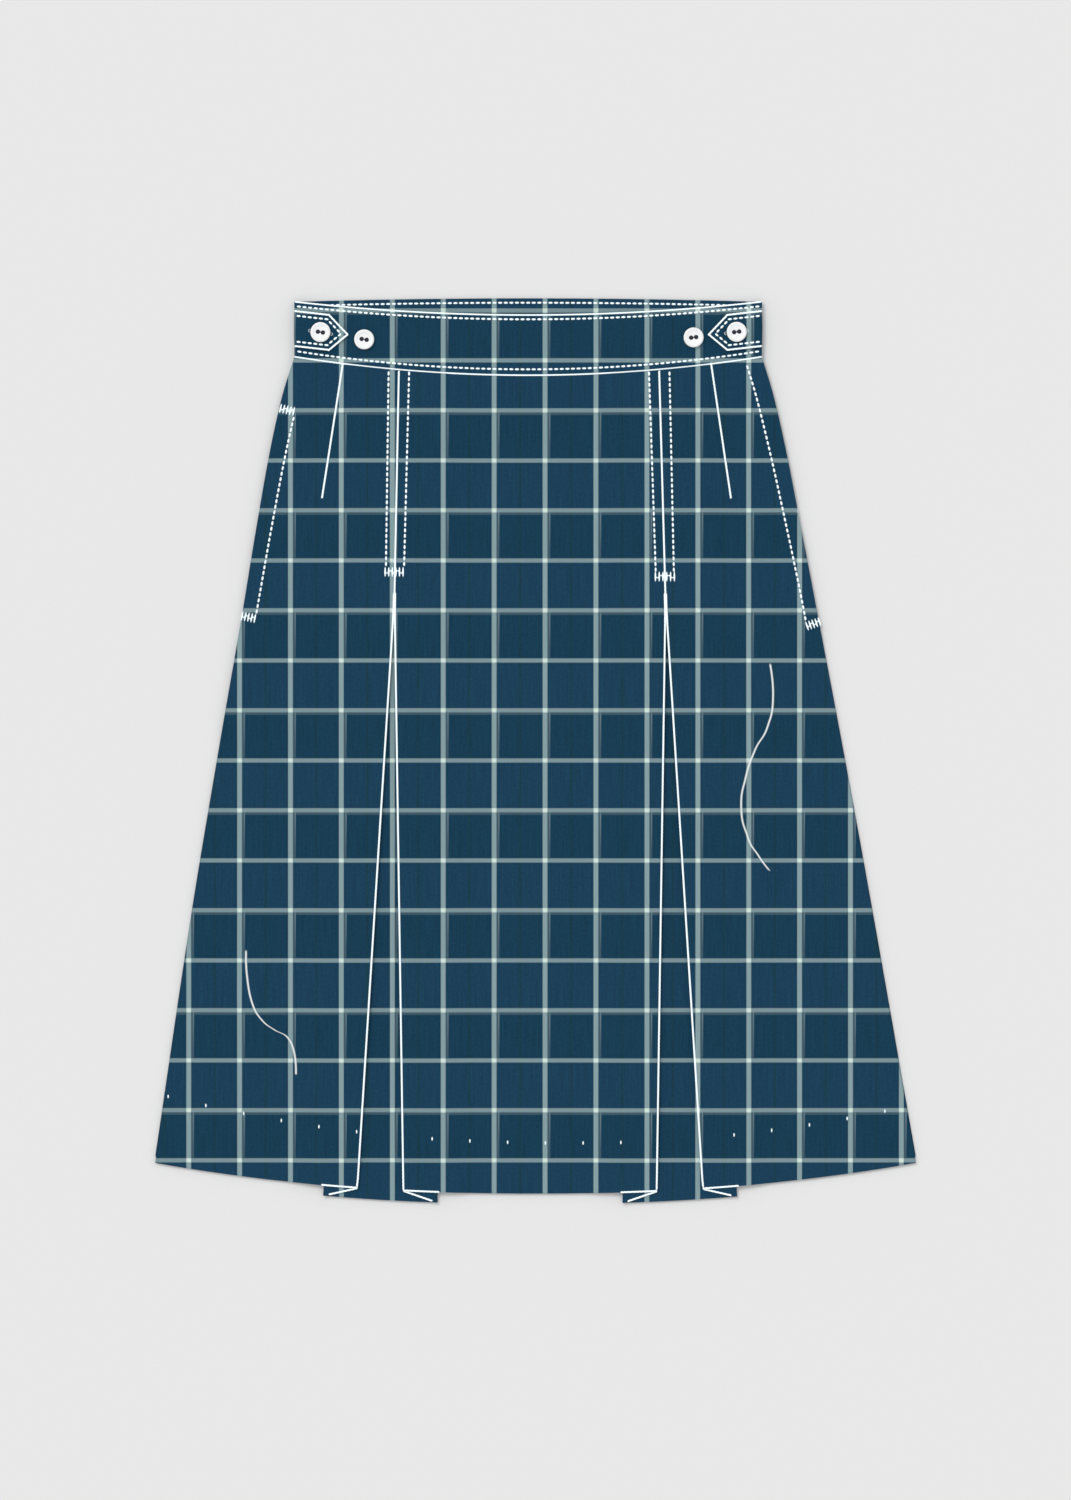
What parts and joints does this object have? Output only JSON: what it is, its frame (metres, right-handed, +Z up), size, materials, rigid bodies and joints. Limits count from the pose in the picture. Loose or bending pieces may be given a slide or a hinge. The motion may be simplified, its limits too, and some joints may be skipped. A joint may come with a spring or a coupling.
{
  "type": "checked skirt",
  "caption": "Checked A-line skirt laid flat on its back, with inverted front pleats, a curved waistband, buttoned waist tabs, an in-seam pocket and a side zip.",
  "frame": {"origin": "on the surface that the skirt lies on, at the middle of its bounding box", "axes": "+X towards the wearer's left side, +Y up the skirt from hem to waist, +Z up from the surface, out of the skirt's front"},
  "size_m": [0.5708, 0.6788, 0.0101],
  "materials": {
    "checked_cloth": "matt woven suiting, dark teal blue with a pale windowpane check",
    "pocketing": "plain matt pocket lining",
    "zip_tape": "matt woven tape",
    "button": "semi-gloss white resin"
  },
  "bodies": {
    "root": {"back_panel": "checked_cloth", "front_panel": "checked_cloth", "waistband_back": "checked_cloth", "waistband_front": "checked_cloth", "pocket_bag_right": "pocketing", "side_zip_left": "zip_tape", "waist_tab_right": "checked_cloth", "tab_button_right": "button", "band_button_right": "button", "waist_tab_left": "checked_cloth", "tab_button_left": "button", "band_button_left": "button"}
  },
  "joints": []
}
